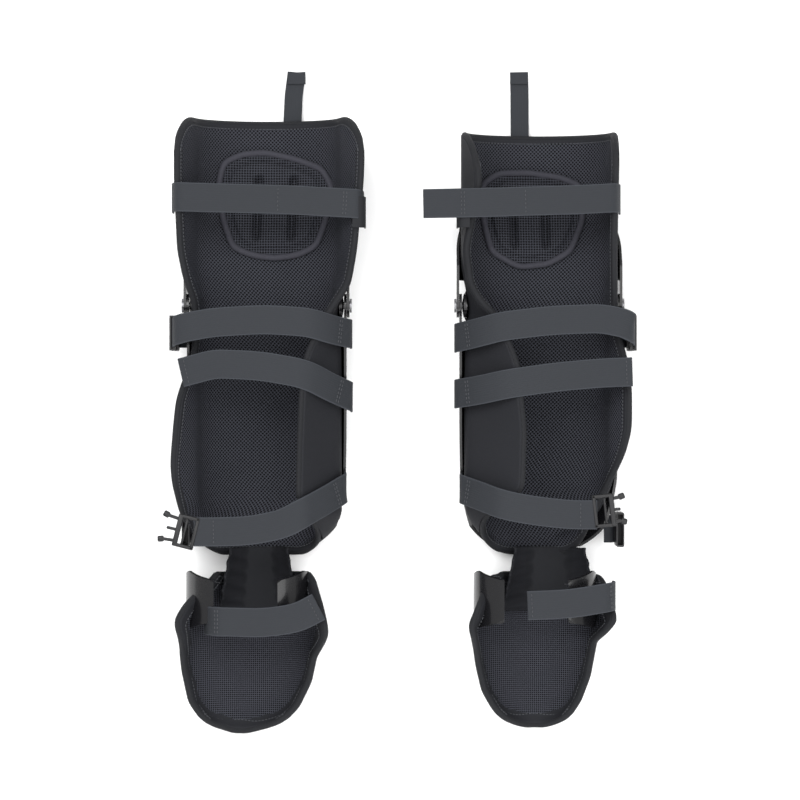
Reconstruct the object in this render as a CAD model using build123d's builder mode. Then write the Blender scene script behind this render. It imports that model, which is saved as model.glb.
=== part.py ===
from build123d import *
import os
from dataclasses import dataclass

# A pair of full-length leg guards, lying on their hard fronts with the lining up.
# +Z points out of the lining, +Y towards the thigh, and X runs across the pair.
# Positions across one guard are given from its own axis, positive towards the pair's inner side.

# Knee hinge
PIVOT_Y = 95.0
PIVOT_Z = 60.0
PIN_R = 3.5
PIN_HOLE_R = 3.55
EAR_R = 12.0

# Hard shells: three nested layers at the knee, each 2.5 thick and 0.3 apart
SHELL_T = 2.5
LAYER_GAP = 0.3
CUP_HALF = 77.5
SHIN_HALF = CUP_HALF + LAYER_GAP + SHELL_T
THIGH_HALF = SHIN_HALF + LAYER_GAP + SHELL_T
CUP_DEPTH = 58.0
SHELL_KNEE_GAP = 26.0

# Soft lining
FOAM_T = 8.0
WING_T = 6.0
SHIN_END_Y = -150.0
RIM_Z = 64.0
LEAN_Z = 74.0
THIGH_RIM_Z = 96.0

# Webbing
WEB_T = 2.2
WEB_W = 29.0
WEB_BEND = 4.0
HINGE_U = 82.0
HINGE_Z = 57.0

# Ankle
ANKLE_Y = -155.0
FOOT_TOP_Y = -178.0
FOOT_WALL_Z = 42.0
CUP_WALL_Z = 44.0

# Side-release buckle
BUCKLE_W = 35.0
BUCKLE_T = 8.0
BUCKLE_WALL = 1.4
PRONG_T = 2.2
PRONG_W = 5.0
PRONG_L = 13.0

# Knee cup, its slider pad and its soft pad
CUP_SPREAD = 296.0
PAD_SIZE = (58.0, 32.0)
PAD_BALL = (72.0, 55.0)
RIVET_IN = 72.6

# Clearance of the soft pieces from the shells' outer face, and the pair's half length
FOAM_GAP = SHELL_T + LAYER_GAP
HALF_LENGTH = 337.5
FOOT_TOE_Y = -HALF_LENGTH

# Where the straps cross, the outer side first where a strap slopes
THIGH_STRAP_Y = 202.0
UPPER_KNEE_Y = 67.0
LOWER_KNEE_Y = (28.0, 4.0)
CALF_Y = -131.0

# Buckle sockets: across, along, height of the mouth, and where the webbing meets the shell
PRONG_REACH = 20.0
SOCKETS = [(-93.5, UPPER_KNEE_Y, 66.0, -81.0), (-82.5, CALF_Y, 52.0, -70.0)]

# Length that is sure to pass through any piece
TALL = 200.0


@dataclass
class Guard:
    """How one guard of the pair lies."""

    name: str
    axis_x: float
    inner: int  # +1 when the pair's inner side is towards +X
    thigh_top: float
    thigh_rim: tuple  # outer and inner rim of the thigh lining, across the guard
    pad_shift: float
    pad_half: float
    foot_shift: float
    foot_half: float
    thigh_strap_end: float
    calf_plug_at: float
    instep_from: int  # +1 when the instep strap is sewn on the inner side
    instep_end: float
    pull_tab_at: float

    def x(self, u):
        return self.axis_x + self.inner * u

    def foot_x(self, u):
        return self.x(self.foot_shift + u)


PAIR = [
    Guard("left", -134.0, 1, 286.0, (-89.0, 97.0), 7.5, 58.0, -20.5, 64.0, 99.0, -66.0, 1, -29.0, 25.0),
    Guard("right", 140.0, -1, 272.0, (-76.0, 76.0), 5.5, 52.0, 3.5, 58.0, 117.0, -55.0, -1, 19.0, 17.5),
]


def save(piece, guard, name):
    piece.part.label = f"{guard.name}_{name}"
    export_step(piece.part, f"parts/{guard.name}_{name}.step")
    print(piece.part.label, round(piece.part.volume), "mm3", flush=True)


def trough_ring(x, z, half, depth, wall, side_wall=0.0):
    """In an XZ sketch: half an elliptical ring, with upright sides above its axis if side_wall."""
    with Locations((x, z)):
        Ellipse(half, depth)
        Ellipse(half - wall, depth - wall, mode=Mode.SUBTRACT)
    with Locations((x, z + TALL / 2)):
        Rectangle(2 * half + 1, TALL, mode=Mode.SUBTRACT)
    if side_wall:
        with Locations((x - half + wall / 2, z + side_wall / 2), (x + half - wall / 2, z + side_wall / 2)):
            Rectangle(wall, side_wall)


def section(y):
    """The plane across a guard at y, looking from +Y, whose extrusions run towards -Y."""
    return Plane.XZ.offset(-y)


def knee_axis(guard):
    return Axis((guard.axis_x, PIVOT_Y, PIVOT_Z), (1, 0, 0))


def knee_ball(guard, half, radius):
    """The solid of revolution about the knee axis that the cup sweeps."""
    with BuildPart() as ball:
        with BuildSketch(section(PIVOT_Y)):
            with BuildLine():
                EllipticalCenterArc((guard.axis_x, PIVOT_Z), half, radius, start_angle=0, arc_size=180)
                Line((guard.axis_x - half, PIVOT_Z), (guard.axis_x + half, PIVOT_Z))
            make_face()
        revolve(axis=knee_axis(guard))
    return ball.part


# ---------------------------------------------------------------- hard shells


def thigh_shell(guard):
    """The shell over the thigh, with its two hinge ears outside the shin shell's."""
    y_low = PIVOT_Y + SHELL_KNEE_GAP
    with BuildPart() as shell:
        with BuildSketch(section(guard.thigh_top - 6)):
            trough_ring(guard.axis_x, PIVOT_Z, THIGH_HALF, PIVOT_Z, SHELL_T, 12)
        extrude(amount=guard.thigh_top - 6 - y_low)
        with BuildSketch(Plane.YZ.offset(guard.axis_x)):
            Polygon(
                (y_low, -1), (y_low, 72), (y_low + 14, 72), (y_low + 50, 44),
                (guard.thigh_top - 40, 32), (guard.thigh_top - 6, 12), (guard.thigh_top - 6, -1),
                align=None,
            )
        extrude(amount=TALL, both=True, mode=Mode.INTERSECT)
        for side in (-1, 1):
            with BuildSketch(Plane.YZ.offset(guard.axis_x + side * (THIGH_HALF - SHELL_T / 2))):
                with Locations((PIVOT_Y, PIVOT_Z)):
                    Circle(EAR_R)
                with Locations(((PIVOT_Y + y_low + 4) / 2, PIVOT_Z)):
                    Rectangle(y_low + 4 - PIVOT_Y, 2 * EAR_R)
                with Locations((PIVOT_Y, PIVOT_Z)):
                    Circle(PIN_HOLE_R, mode=Mode.SUBTRACT)
            extrude(amount=SHELL_T / 2, both=True)
    save(shell, guard, "thigh_shell")


def shin_shell(guard):
    """The shell over the shin, with its two hinge ears between the cup's and the thigh shell's."""
    y_high = PIVOT_Y - SHELL_KNEE_GAP
    with BuildPart() as shell:
        with BuildSketch(section(y_high)):
            trough_ring(guard.axis_x, PIVOT_Z, SHIN_HALF, PIVOT_Z, SHELL_T, RIM_Z - PIVOT_Z)
        extrude(amount=y_high - SHIN_END_Y)
        with BuildSketch(Plane.YZ.offset(guard.axis_x)):
            Polygon(
                (SHIN_END_Y, -1), (SHIN_END_Y, 10), (-128, 30), (-80, 50), (-20, 58),
                (y_high - 14, RIM_Z), (y_high, RIM_Z), (y_high, -1),
                align=None,
            )
        extrude(amount=TALL, both=True, mode=Mode.INTERSECT)
        for side in (-1, 1):
            with BuildSketch(Plane.YZ.offset(guard.axis_x + side * (SHIN_HALF - SHELL_T / 2))):
                with Locations((PIVOT_Y, PIVOT_Z)):
                    Circle(EAR_R)
                with Locations(((PIVOT_Y + y_high - 4) / 2, PIVOT_Z - 3)):
                    Rectangle(PIVOT_Y - y_high + 4, 2 * EAR_R - 6)
                with Locations((PIVOT_Y, PIVOT_Z)):
                    Circle(PIN_HOLE_R, mode=Mode.SUBTRACT)
            extrude(amount=SHELL_T / 2, both=True)
    save(shell, guard, "shin_shell")


def knee_cup(guard):
    """The domed cup over the kneecap: a shape turned about the knee axis, so it nests at any angle."""
    with BuildPart() as cup:
        with BuildSketch(section(PIVOT_Y)):
            with BuildLine():
                EllipticalCenterArc((guard.axis_x, PIVOT_Z), CUP_HALF, CUP_DEPTH, start_angle=0, arc_size=180)
                Line((guard.axis_x - CUP_HALF, PIVOT_Z), (guard.axis_x + CUP_HALF, PIVOT_Z))
            make_face()
        revolve(axis=knee_axis(guard))
        add(knee_ball(guard, CUP_HALF - SHELL_T, CUP_DEPTH - SHELL_T), mode=Mode.SUBTRACT)
        with BuildSketch(Plane.YZ.offset(guard.axis_x)):
            Polygon(
                (PIVOT_Y, PIVOT_Z),
                (PIVOT_Y - CUP_SPREAD, PIVOT_Z - TALL),
                (PIVOT_Y + CUP_SPREAD, PIVOT_Z - TALL),
                align=None,
            )
            with Locations((PIVOT_Y, PIVOT_Z)):
                Circle(EAR_R)
        extrude(amount=TALL, both=True, mode=Mode.INTERSECT)
        with BuildSketch(Plane.YZ.offset(guard.axis_x)):
            with Locations((PIVOT_Y, PIVOT_Z)):
                Circle(PIN_HOLE_R)
        extrude(amount=TALL, both=True, mode=Mode.SUBTRACT)
    save(cup, guard, "knee_cup")


def knee_wear_pad(guard):
    """The flat-faced slider on the front of the cup."""
    with BuildPart() as pad:
        with BuildSketch(Plane.XY):
            with Locations((guard.axis_x, PIVOT_Y)):
                RectangleRounded(PAD_SIZE[0], PAD_SIZE[1], 8)
        extrude(amount=16)
        add(knee_ball(guard, CUP_HALF, CUP_DEPTH), mode=Mode.SUBTRACT)
    save(pad, guard, "knee_wear_pad")


def knee_rivets(guard):
    """The two shouldered pins on the knee axis."""
    with BuildPart() as rivets:
        for side in (-1, 1):
            with BuildSketch(Plane.YZ.offset(guard.axis_x + side * RIVET_IN)):
                with Locations((PIVOT_Y, PIVOT_Z)):
                    Circle(6)
            extrude(amount=side * 1.8)
            with BuildSketch(Plane.YZ.offset(guard.axis_x + side * RIVET_IN)):
                with Locations((PIVOT_Y, PIVOT_Z)):
                    Circle(PIN_R)
            extrude(amount=side * (THIGH_HALF + LAYER_GAP - RIVET_IN + 1))
            with BuildSketch(Plane.YZ.offset(guard.axis_x + side * (THIGH_HALF + LAYER_GAP))):
                with Locations((PIVOT_Y, PIVOT_Z)):
                    Circle(7)
            extrude(amount=side * 2)
    save(rivets, guard, "knee_rivets")


def strap_rivets(guard):
    """Flush rivets in the shin shell beside the straps' sewn ends."""
    with BuildPart() as rivets:
        for y in (UPPER_KNEE_Y, LOWER_KNEE_Y[1]):
            for side in (-1, 1):
                with BuildSketch(Plane.YZ.offset(guard.axis_x + side * (SHIN_HALF - SHELL_T))):
                    with Locations((y - 6, RIM_Z - 16), (y + 6, RIM_Z - 16)):
                        Circle(3.5)
                extrude(amount=side * (SHELL_T + 1.2))
    save(rivets, guard, "strap_rivets")


def instep_shell(guard):
    """The shallow shell over the instep."""
    with BuildPart() as shell:
        with BuildSketch(section(FOOT_TOP_Y)):
            trough_ring(guard.foot_x(0), FOOT_WALL_Z, 76, FOOT_WALL_Z, SHELL_T)
        extrude(amount=FOOT_TOP_Y - FOOT_TOE_Y)
        with BuildSketch(Plane.XY):
            with BuildLine():
                Spline(
                    (guard.foot_x(-34), FOOT_TOP_Y),
                    (guard.foot_x(4 - guard.foot_half), FOOT_TOP_Y - 60),
                    (guard.foot_x(-34), FOOT_TOE_Y + 22),
                    (guard.foot_x(0), FOOT_TOE_Y + 8),
                    (guard.foot_x(34), FOOT_TOE_Y + 22),
                    (guard.foot_x(guard.foot_half - 4), FOOT_TOP_Y - 60),
                    (guard.foot_x(34), FOOT_TOP_Y),
                )
                Line((guard.foot_x(-34), FOOT_TOP_Y), (guard.foot_x(34), FOOT_TOP_Y))
            make_face()
        extrude(amount=TALL, mode=Mode.INTERSECT)
    save(shell, guard, "instep_shell")


def ankle_cup(guard, side, name):
    """One domed cup beside the ankle: a piece of an elliptical trough that leans in at its top."""
    with BuildPart() as cup:
        with BuildSketch(section(-172)):
            with Locations((guard.foot_x(0), CUP_WALL_Z)):
                Ellipse(62, 42)
                Ellipse(62 - SHELL_T, 42 - SHELL_T, mode=Mode.SUBTRACT)
        extrude(amount=58)
        with BuildSketch(Plane.YZ.offset(guard.foot_x(0))):
            Polygon(
                (-172, 58), (-180, 78), (-196, 88), (-210, 88), (-224, 76), (-230, 56),
                (-222, 38), (-208, 28), (-192, 28), (-178, 38),
                align=None,
            )
        extrude(amount=TALL, both=True, mode=Mode.INTERSECT)
        with BuildSketch(Plane.XY):
            with Locations((guard.foot_x(side * 60), -200)):
                Rectangle(56, 80)
        extrude(amount=TALL, mode=Mode.INTERSECT)
    save(cup, guard, name)


# ---------------------------------------------------------------- soft lining


def thigh_liner(guard):
    """The foam trough under the thigh, whose two walls lean as the guard lies."""
    half = THIGH_HALF - SHELL_T - LAYER_GAP
    y_low = PIVOT_Y + 17
    with BuildPart() as liner:
        with BuildSketch(section(guard.thigh_top)):
            trough_ring(guard.axis_x, PIVOT_Z, half, half_depth(FOAM_GAP), FOAM_T, LEAN_Z - PIVOT_Z)
            for side, rim in zip((-1, 1), guard.thigh_rim):
                Polygon(
                    (guard.x(side * half), LEAN_Z),
                    (guard.x(side * (half - FOAM_T)), LEAN_Z),
                    (guard.x(rim - side * FOAM_T), THIGH_RIM_Z),
                    (guard.x(rim), THIGH_RIM_Z),
                    align=None,
                )
        extrude(amount=guard.thigh_top - y_low)
        with BuildSketch(Plane.YZ.offset(guard.axis_x)):
            Polygon(
                (y_low, -1), (y_low, RIM_Z), (y_low + 48, 92), (y_low + 63, THIGH_RIM_Z + 1),
                (guard.thigh_top, THIGH_RIM_Z + 1), (guard.thigh_top, -1),
                align=None,
            )
        extrude(amount=TALL, both=True, mode=Mode.INTERSECT)
        add(knee_ball(guard, CUP_HALF + LAYER_GAP, CUP_DEPTH + 0.8), mode=Mode.SUBTRACT)
    save(liner, guard, "thigh_liner")


def thigh_pad(guard):
    """The trapezoid cushion on the thigh lining."""
    half = THIGH_HALF - SHELL_T - LAYER_GAP - FOAM_T - LAYER_GAP
    top = 250.0
    with BuildPart() as pad:
        with BuildSketch(section(top)):
            trough_ring(guard.axis_x, PIVOT_Z, half, half_depth(FOAM_GAP + FOAM_T + LAYER_GAP), FOAM_T)
        extrude(amount=112)
        with BuildSketch(Plane.XY):
            with Locations((guard.x(guard.pad_shift), 0)):
                Polygon(
                    (-guard.pad_half, 218), (-guard.pad_half + 20, top), (guard.pad_half - 20, top),
                    (guard.pad_half, 218), (guard.pad_half, 184), (guard.pad_half - 16, 152),
                    (guard.pad_half - 34, top - 112), (34 - guard.pad_half, top - 112),
                    (16 - guard.pad_half, 152), (-guard.pad_half, 184),
                    align=None,
                )
        extrude(amount=TALL, mode=Mode.INTERSECT)
    save(pad, guard, "thigh_pad")


def knee_pad(guard):
    """The foam lining behind the knee cup."""
    with BuildPart() as pad:
        with BuildSketch(section(PIVOT_Y)):
            with BuildLine():
                EllipticalCenterArc((guard.axis_x, PIVOT_Z), *PAD_BALL, start_angle=0, arc_size=180)
                Line((guard.axis_x - PAD_BALL[0], PIVOT_Z), (guard.axis_x + PAD_BALL[0], PIVOT_Z))
            make_face()
        revolve(axis=knee_axis(guard))
        add(knee_ball(guard, PAD_BALL[0] - FOAM_T, PAD_BALL[1] - FOAM_T), mode=Mode.SUBTRACT)
        with BuildSketch(Plane.YZ.offset(guard.axis_x)):
            Polygon(
                (PIVOT_Y, PIVOT_Z - 4),
                (PIVOT_Y - TALL, PIVOT_Z - 4 - TALL),
                (PIVOT_Y + TALL, PIVOT_Z - 4 - TALL),
                align=None,
            )
        extrude(amount=TALL, both=True, mode=Mode.INTERSECT)
    save(pad, guard, "knee_pad")


def shin_liner(guard):
    """The foam trough inside the shin shell."""
    half = SHIN_HALF - SHELL_T - LAYER_GAP
    y_high = PIVOT_Y - SHELL_KNEE_GAP
    with BuildPart() as liner:
        with BuildSketch(section(y_high)):
            trough_ring(guard.axis_x, PIVOT_Z, half, half_depth(FOAM_GAP), FOAM_T, RIM_Z - PIVOT_Z)
        extrude(amount=y_high - SHIN_END_Y)
        with BuildSketch(Plane.YZ.offset(guard.axis_x)):
            Polygon(
                (SHIN_END_Y, -1), (SHIN_END_Y, 20), (-138, 34), (-112, RIM_Z + 1),
                (y_high, RIM_Z + 1), (y_high, -1),
                align=None,
            )
        extrude(amount=TALL, both=True, mode=Mode.INTERSECT)
        add(knee_ball(guard, CUP_HALF + LAYER_GAP, CUP_DEPTH + 0.8), mode=Mode.SUBTRACT)
    save(liner, guard, "shin_liner")


def shin_wing_inner(guard):
    """The smooth flap that rises from the inner rim and folds over the trough."""
    with BuildPart() as wing:
        with BuildSketch(section(64)):
            Polygon(
                (guard.x(69), RIM_Z + 0.3), (guard.x(77.5), RIM_Z + 0.3), (guard.x(77.5), 67),
                (guard.x(37), 106), (guard.x(33), 101.5),
                align=None,
            )
        extrude(amount=176)
        with BuildSketch(Plane.XY):
            Polygon(
                (guard.x(20), -104), (guard.x(62), -112), (guard.x(90), -112), (guard.x(90), 66),
                (guard.x(60), 66), (guard.x(42), 42), (guard.x(20), 20),
                align=None,
            )
        extrude(amount=TALL, mode=Mode.INTERSECT)
    save(wing, guard, "shin_wing_inner")


def shin_wing_outer(guard):
    """The soft wall that rises from the outer rim."""
    with BuildPart() as wing:
        with BuildSketch(section(64)):
            Polygon(
                (guard.x(-70), RIM_Z + 0.3), (guard.x(-77), RIM_Z + 0.3),
                (guard.x(-87), 92), (guard.x(-81), 92),
                align=None,
            )
        extrude(amount=184)
        with BuildSketch(Plane.YZ.offset(guard.axis_x)):
            Polygon(
                (-120, 60), (-100, 92.5), (30, 92.5), (64, 72), (64, 60),
                align=None,
            )
        extrude(amount=TALL, both=True, mode=Mode.INTERSECT)
    save(wing, guard, "shin_wing_outer")


def foot_liner(guard):
    """The oval foot lining with its two ankle wings."""
    with BuildPart() as liner:
        with BuildSketch(section(FOOT_TOP_Y)):
            trough_ring(guard.foot_x(0), FOOT_WALL_Z, 73.2, FOOT_WALL_Z - FOAM_GAP, WING_T)
        extrude(amount=FOOT_TOP_Y - FOOT_TOE_Y)
        with BuildSketch(Plane.XY):
            with BuildLine():
                Spline(
                    (guard.foot_x(-36), FOOT_TOP_Y),
                    (guard.foot_x(-73), -226),
                    (guard.foot_x(-guard.foot_half), -262),
                    (guard.foot_x(-38), FOOT_TOE_Y + 17),
                    (guard.foot_x(0), FOOT_TOE_Y),
                    (guard.foot_x(38), FOOT_TOE_Y + 17),
                    (guard.foot_x(guard.foot_half), -262),
                    (guard.foot_x(73), -226),
                    (guard.foot_x(36), FOOT_TOP_Y),
                )
                Line((guard.foot_x(-36), FOOT_TOP_Y), (guard.foot_x(36), FOOT_TOP_Y))
            make_face()
        extrude(amount=TALL, mode=Mode.INTERSECT)
    save(liner, guard, "foot_liner")


def ankle_gusset(guard):
    """The folded soft neck between the shin and the foot."""
    with BuildPart() as gusset:
        with BuildSketch(section(ANKLE_Y - 3)):
            trough_ring(guard.foot_x(0), 46, 59.2, 36.5, 4)
        extrude(amount=54)
        with BuildSketch(Plane.XY):
            Polygon(
                (guard.foot_x(-33), ANKLE_Y - 3), (guard.foot_x(33), ANKLE_Y - 3), (guard.foot_x(35), -172),
                (guard.foot_x(59), -192), (guard.foot_x(59), -212), (guard.foot_x(-59), -212),
                (guard.foot_x(-59), -192), (guard.foot_x(-35), -172),
                align=None,
            )
        extrude(amount=TALL, mode=Mode.INTERSECT)
    save(gusset, guard, "ankle_gusset")


def pull_tab(guard):
    """The webbing loop at the top of the thigh."""
    with BuildPart() as tab:
        with BuildSketch(Plane.XY.offset(5)):
            with Locations((guard.x(guard.pull_tab_at), (guard.thigh_top + 0.2 + HALF_LENGTH) / 2)):
                Rectangle(18.5, HALF_LENGTH - guard.thigh_top - 0.2)
        extrude(amount=WEB_T)
    save(tab, guard, "pull_tab")


# ---------------------------------------------------------------- straps and buckles


def strap(guard, name, route, centre_line):
    """A flat strap: its bend is the route seen along Y, its outline the centre line seen from above."""
    with BuildPart() as web:
        with BuildSketch(section(2 * TALL)):
            with BuildLine():
                FilletPolyline(*[(guard.x(u), z) for u, z in route], radius=WEB_BEND)
            trace(line_width=WEB_T)
        extrude(amount=4 * TALL)
        with BuildSketch(Plane.XY):
            with BuildLine():
                Spline(*[(guard.x(u), y) for u, y in centre_line])
            trace(line_width=WEB_W)
        extrude(amount=TALL, mode=Mode.INTERSECT)
    save(web, guard, name)


def thigh_strap(guard):
    outer = guard.thigh_rim[0]
    top_z = THIGH_RIM_Z + 3.5
    route = [
        (-THIGH_HALF - 3.4, 50), (min(outer - 4, -THIGH_HALF - 1.5), 78),
        (outer - 3.5, top_z), (guard.thigh_strap_end, top_z),
    ]
    tip = (guard.thigh_strap_end + 1, THIGH_STRAP_Y - 6)
    centre_line = [(outer - 14, THIGH_STRAP_Y), (0, THIGH_STRAP_Y - 1), tip]
    strap(guard, "thigh_strap", route, centre_line)


def thigh_strap_tab(guard):
    """The hook-and-loop landing on the inner wall, under the thigh strap's free end."""
    half = THIGH_HALF - SHELL_T - LAYER_GAP
    low_z, high_z = LEAN_Z + 2, THIGH_RIM_Z - 1
    lean = (guard.thigh_rim[1] - half) / (THIGH_RIM_Z - LEAN_Z)
    low_u = half + lean * (low_z - LEAN_Z) + LAYER_GAP
    high_u = half + lean * (high_z - LEAN_Z) + LAYER_GAP
    with BuildPart() as tab:
        with BuildSketch(section(THIGH_STRAP_Y)):
            Polygon(
                (guard.x(low_u), low_z), (guard.x(high_u), high_z),
                (guard.x(high_u + 2), high_z), (guard.x(low_u + 2), low_z),
                align=None,
            )
        extrude(amount=30)
    save(tab, guard, "thigh_strap_tab")


def upper_knee_strap(guard):
    route = [(HINGE_U, HINGE_Z), (HINGE_U, 69), (37, 110), (-84, 98), (-93.5, 89), (-93.5, 78)]
    strap(guard, "upper_knee_strap", route, [(HINGE_U + 2, 67), (30, 72), (-60, 72), (-96, 67)])


def lower_knee_strap(guard):
    route = [(HINGE_U, HINGE_Z), (HINGE_U, 69), (37, 110), (-80, 98.5), (-89, 96)]
    centre_line = [(HINGE_U + 2, LOWER_KNEE_Y[1]), (30, 20), (-90, LOWER_KNEE_Y[0])]
    strap(guard, "lower_knee_strap", route, centre_line)


def calf_strap(guard):
    route = [
        (HINGE_U, HINGE_Z), (HINGE_U, 69), (37, 110), (-20, 97.5), (guard.calf_plug_at, 97.5),
    ]
    centre_line = [(HINGE_U + 2, -92), (30, -112), (-30, CALF_Y), (guard.calf_plug_at, CALF_Y)]
    strap(guard, "calf_strap", route, centre_line)


def instep_strap(guard):
    """The strap over the instep, sewn on one side and ending in hook-and-loop on the other."""
    side = guard.instep_from
    base = guard.foot_shift + side * 78
    top = guard.foot_shift + side * 46
    route = [(base, 40), (base, 60), (top, 92), (guard.instep_end, 88)]
    centre_line = [(base + side * 2, -206), (guard.foot_shift, -216), (guard.instep_end, -220)]
    strap(guard, "instep_strap", route, centre_line)


def upper_knee_plug(guard):
    """The buckle's plug on the upper knee strap: a bar that holds the webbing, and two prongs."""
    outer = -93.5 - WEB_T / 2
    with BuildPart() as plug:
        with BuildSketch(Plane.XY.offset(70)):
            with Locations((guard.x(-93.5), 67)):
                Rectangle(6, BUCKLE_W)
        extrude(amount=13)
        with BuildSketch(Plane.XY.offset(78)):
            with Locations((guard.x(-93.5), 67)):
                Rectangle(WEB_T + 0.2, WEB_W + 3)
        extrude(amount=6, mode=Mode.SUBTRACT)
        with BuildSketch(Plane.XY.offset(70 - PRONG_L)):
            with Locations((guard.x(outer), 67 - 10), (guard.x(outer), 67 + 10)):
                Rectangle(PRONG_T, PRONG_W)
        extrude(amount=PRONG_L + 1)
    save(plug, guard, "upper_knee_plug")


def socket(guard, name, u, y, mouth_z):
    """A buckle's socket standing on edge with its mouth up, and a slot for its webbing below."""
    with BuildPart() as body:
        with BuildSketch(Plane.XY.offset(mouth_z - 28)):
            with Locations((guard.x(u), y)):
                RectangleRounded(BUCKLE_T, BUCKLE_W, 2)
        extrude(amount=28)
        with BuildSketch(Plane.XY.offset(mouth_z - 18)):
            with Locations((guard.x(u), y)):
                Rectangle(BUCKLE_T - 2 * BUCKLE_WALL, BUCKLE_W - 4)
        extrude(amount=20, mode=Mode.SUBTRACT)
        with BuildSketch(Plane.YZ.offset(guard.x(u))):
            with Locations((y, mouth_z - 23)):
                Rectangle(BUCKLE_W - 8, 4)
        extrude(amount=BUCKLE_T, both=True, mode=Mode.SUBTRACT)
    save(body, guard, name)


def calf_plug(guard):
    """The calf buckle's plug, lying unclipped with its prongs outwards."""
    z = 97.5
    u = guard.calf_plug_at
    with BuildPart() as plug:
        with BuildSketch(section(CALF_Y + BUCKLE_W / 2)):
            with Locations((guard.x(u - 9), z)):
                Rectangle(17, 6)
            with Locations((guard.x(u - 4), z)):
                Rectangle(8, WEB_T + 0.2, mode=Mode.SUBTRACT)
        extrude(amount=BUCKLE_W)
        for y in (CALF_Y - 11, CALF_Y + 11):
            with BuildSketch(section(y + PRONG_W / 2)):
                with Locations((guard.x(u - 17 - PRONG_REACH / 2), z)):
                    Rectangle(PRONG_REACH + 1, PRONG_T)
            extrude(amount=PRONG_W)
    save(plug, guard, "calf_plug")


def socket_webbing(guard):
    """The short strips that tie both sockets to the shin shell."""
    with BuildPart() as strips:
        for u, y, z, shell_u in SOCKETS:
            with BuildSketch(section(y + 11)):
                with BuildLine():
                    Line((guard.x(u), z - 23), (guard.x(shell_u), z - 23))
                trace(line_width=1.6)
            extrude(amount=22)
    save(strips, guard, "socket_webbing")


def half_depth(gap):
    """Depth of a trough that lies the given height above the ground."""
    return PIVOT_Z - gap


def main():
    os.makedirs("parts", exist_ok=True)
    for guard in PAIR:
        thigh_shell(guard)
        shin_shell(guard)
        knee_cup(guard)
        knee_wear_pad(guard)
        knee_rivets(guard)
        strap_rivets(guard)
        instep_shell(guard)
        ankle_cup(guard, -1, "ankle_cup_outer")
        ankle_cup(guard, 1, "ankle_cup_inner")
        thigh_liner(guard)
        thigh_pad(guard)
        knee_pad(guard)
        shin_liner(guard)
        shin_wing_inner(guard)
        shin_wing_outer(guard)
        foot_liner(guard)
        ankle_gusset(guard)
        pull_tab(guard)
        thigh_strap(guard)
        thigh_strap_tab(guard)
        upper_knee_strap(guard)
        lower_knee_strap(guard)
        calf_strap(guard)
        instep_strap(guard)
        upper_knee_plug(guard)
        socket(guard, "upper_knee_socket", *SOCKETS[0][:3])
        socket(guard, "calf_socket", *SOCKETS[1][:3])
        calf_plug(guard)
        socket_webbing(guard)


main()
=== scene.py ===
import math

import bmesh
import bpy
import numpy as np
from mathutils import Matrix, Vector, kdtree


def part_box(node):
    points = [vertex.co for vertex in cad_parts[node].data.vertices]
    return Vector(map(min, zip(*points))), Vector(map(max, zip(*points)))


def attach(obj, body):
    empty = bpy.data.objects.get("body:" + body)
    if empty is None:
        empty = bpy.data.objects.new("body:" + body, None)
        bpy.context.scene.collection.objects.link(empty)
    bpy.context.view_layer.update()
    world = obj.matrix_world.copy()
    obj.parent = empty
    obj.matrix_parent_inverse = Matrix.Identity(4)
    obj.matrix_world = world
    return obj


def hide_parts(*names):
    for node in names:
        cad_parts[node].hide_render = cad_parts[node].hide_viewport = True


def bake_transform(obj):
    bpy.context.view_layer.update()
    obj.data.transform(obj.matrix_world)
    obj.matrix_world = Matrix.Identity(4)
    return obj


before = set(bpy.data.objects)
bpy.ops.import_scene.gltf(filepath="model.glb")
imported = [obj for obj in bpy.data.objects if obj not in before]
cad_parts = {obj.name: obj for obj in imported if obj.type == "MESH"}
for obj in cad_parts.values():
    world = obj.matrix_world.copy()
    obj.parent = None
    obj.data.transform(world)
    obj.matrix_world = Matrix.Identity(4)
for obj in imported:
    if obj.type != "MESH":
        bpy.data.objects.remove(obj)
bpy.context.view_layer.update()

bl_info = {
    "name": "Riding leg guards",
    "version": (1, 0, 0),
    "blender": (4, 5, 0),
    "location": "3D Viewport > Sidebar > Leg guards",
    "description": "Dresses a pair of hinged leg guards in mesh cloth, webbing, foam and moulded plastic",
    "category": "Add Mesh",
}

MM = 0.001
SIDES = ("left", "right")

# Sewing, in metres
STITCH_PITCH = 0.0036
STITCH_LENGTH = 0.0024
THREAD = 0.00084


# ---------------------------------------------------------------- where things are


def middle_x(node):
    low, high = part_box(node)
    return (low.x + high.x) / 2


# X of each guard's own axis, and which way its inner side lies
AXIS = {side: middle_x(f"{side}_knee_cup") for side in SIDES}
INWARD = {side: 1 if AXIS[side] < 0 else -1 for side in SIDES}


def at(side, u, y, z):
    """A point given in millimetres, across the guard from its axis and positive towards the inner side."""
    return Vector((AXIS[side] + INWARD[side] * u * MM, y * MM, z * MM))


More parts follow.
